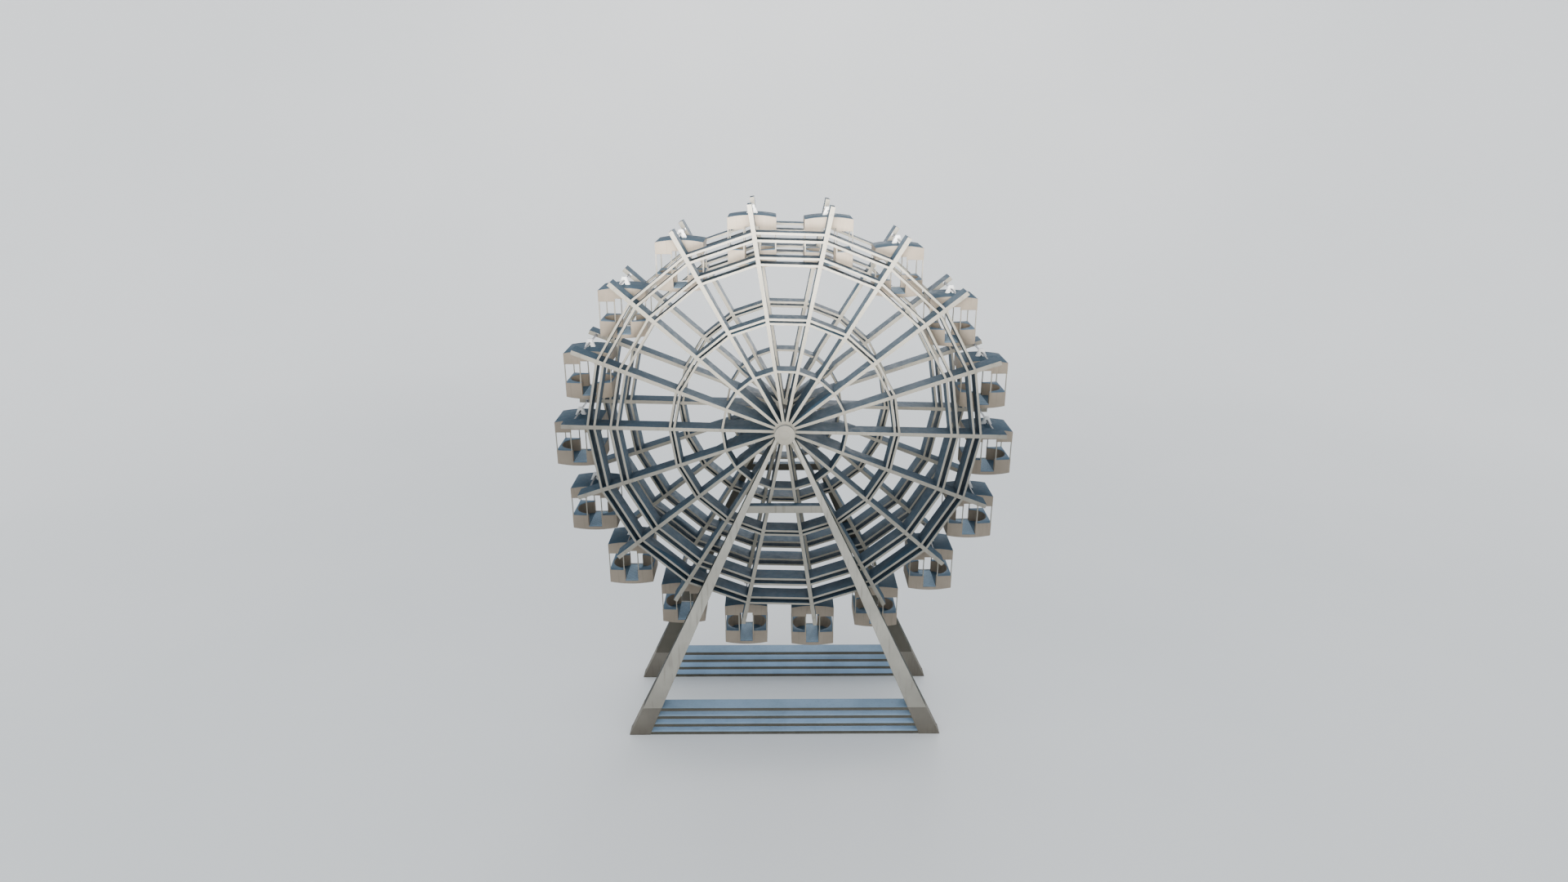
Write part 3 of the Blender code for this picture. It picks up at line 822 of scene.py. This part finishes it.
for word, facing in (("front", -1), ("rear", 1)):
    for side_word, side in (("left", -1), ("right", 1)):
        leg_low, leg_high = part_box(f"{word}_{side_word}_leg")
        foot_low, foot_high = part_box(f"{word}_{side_word}_foot")
        leg_face = min(abs(leg_low.y), abs(leg_high.y)) - 0.0003
        foot_face = min(abs(foot_low.y), abs(foot_high.y))
        flare = block("flare", (-0.5, 0.0, FLARE_LOW), (0.5, 1.0, FLARE_HIGH))
        for top, z in ((False, FLARE_LOW), (True, FLARE_HIGH)):
            for outer, outline in ((True, (7.462, 0.322)), (False, (6.498, 0.208))):
                for inward, y in ((True, leg_face - 0.012 if top else foot_face + 0.006), (False, leg_face)):
                    mark = Vector((0.5 if outer else -0.5, 0.0 if inward else 1.0, z))
                    spot = Vector((leg_edge(outline, z), y, z))
                    pick(flare, "VERT", lambda co: (co - mark).length < 0.001)
                    bpy.ops.transform.translate(value=spot - mark)
                    leave_edit()
        flare.data.transform(Matrix.Diagonal((side, facing, 1.0, 1.0)))
        mend_normals(flare)
        soften(flare, 0.010, 2)
        finish_piece(flare, leg_paint, "support")
        flare.name = flare.data.name = f"{word}_{side_word}_leg_flare"
print("leg flares: 4")

# %% [markdown]
# ## Studio
# The portrait needs a plain pale room. A wide floor whose rim sweeps up all round has no corner from
# any side. Two soft boxes hang in it, a large warm one in front and above, as the portrait is lit,
# and a weaker one behind. The open top lets in an even, slightly cool light.

# %% Floor that sweeps up into a wall
bpy.ops.object.select_all(action="DESELECT")
bpy.ops.mesh.primitive_circle_add(vertices=96, radius=80.0, fill_type="NGON", location=(0, 0, -0.002))
floor = settle(bpy.context.object, "studio_floor")
WALL_RADIUS, WALL_STEPS = 30.0, 8
for step in range(1, WALL_STEPS + 1):
    before, after = ((step - n) / WALL_STEPS * math.pi / 2 for n in (1, 0))
    rise = WALL_RADIUS * (math.cos(before) - math.cos(after))
    reach = (80.0 + WALL_RADIUS * math.sin(after)) / (80.0 + WALL_RADIUS * math.sin(before))
    top = max(v.co.z for v in floor.data.vertices)
    pick(floor, "EDGE", lambda a, b: min(a.z, b.z) > top - 0.01 and min(a.length, b.length) > 60)
    bpy.ops.mesh.extrude_edges_move(TRANSFORM_OT_translate={"value": (0, 0, rise)})
    bpy.ops.transform.resize(value=(reach, reach, 1.0), center_override=(0, 0, 0))
    leave_edit()
top = max(v.co.z for v in floor.data.vertices)
pick(floor, "EDGE", lambda a, b: min(a.z, b.z) > top - 0.01)
bpy.ops.mesh.extrude_edges_move(TRANSFORM_OT_translate={"value": (0, 0, 45.0)})
leave_edit()
only(floor)
bpy.ops.object.shade_smooth_by_angle(angle=math.radians(30))
floor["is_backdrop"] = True
bench = Bench("studio_pale")
bench.wire(
    bench.mix(bench.band(bench.noise(0.05, 3.0), 0.3, 0.7), linear(240, 240, 239), linear(244, 243, 242)),
    bench.shader.inputs["Base Color"],
)
bench.shader.inputs["Roughness"].default_value = 0.9
reach = bench.node("ShaderNodeVectorMath", operation="LENGTH")
bench.wire(bench.place.outputs["Object"], reach.inputs[0])
bench.wire(bench.band(reach.outputs["Value"], 20.0, 130.0, 0.0, 0.3), bench.shader.inputs["Emission Strength"])
bench.shader.inputs["Emission Color"].default_value = linear(250, 250, 250)
floor.data.materials.append(bench.material)
print("studio wall up to", round(max(v.co.z for v in floor.data.vertices), 1), "m")

# %% Light
sky = bpy.data.worlds.new("studio_sky")
sky.use_nodes = True
sky.node_tree.nodes["Background"].inputs["Color"].default_value = (0.86, 0.93, 1.0, 1.0)
sky.node_tree.nodes["Background"].inputs["Strength"].default_value = 1.15
bpy.context.scene.world = sky


def soft_box(name, place, aim, size, power, spread, colour):
    lamp = bpy.data.lights.new(name, "AREA")
    lamp.shape = "DISK"
    lamp.size = size
    lamp.energy = power
    lamp.spread = math.radians(spread)
    lamp.color = colour
    box = bpy.data.objects.new(name, lamp)
    box.location = place
    box.rotation_euler = (Vector(aim) - Vector(place)).to_track_quat("-Z", "Y").to_euler()
    box.visible_camera = False
    bpy.context.scene.collection.objects.link(box)


soft_box("front_soft_box", (-1, -24, 24), (0, 0, 29), 10.0, 8000, 70, (1.0, 0.975, 0.93))
soft_box("rear_soft_box", (4, 30, 20), (0, 0, 20), 16.0, 1800, 90, (0.97, 0.98, 1.0))

# %% Camera
lens = bpy.data.cameras.new("portrait_camera")
lens.sensor_width = 36.0
lens.lens = 20.70
lens.clip_end = 1000.0
camera = bpy.data.objects.new("portrait_camera", lens)
camera.location = (-0.30, -DISC_FACE - 36.85, HUB + 12.47)
camera.rotation_euler = (math.radians(90 - 19.27), 0.0, math.radians(-0.415))
bpy.context.scene.collection.objects.link(camera)
bpy.context.scene.camera = camera

# %% [markdown]
# ## Size of the dressed wheel
# The dressed wheel must keep the size of its solids, so its box is printed.

# %% Size of the dressed wheel
bpy.ops.object.select_all(action="DESELECT")
low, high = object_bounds()
print("box of the dressed wheel:", [round(v, 3) for v in (*low, *high)])
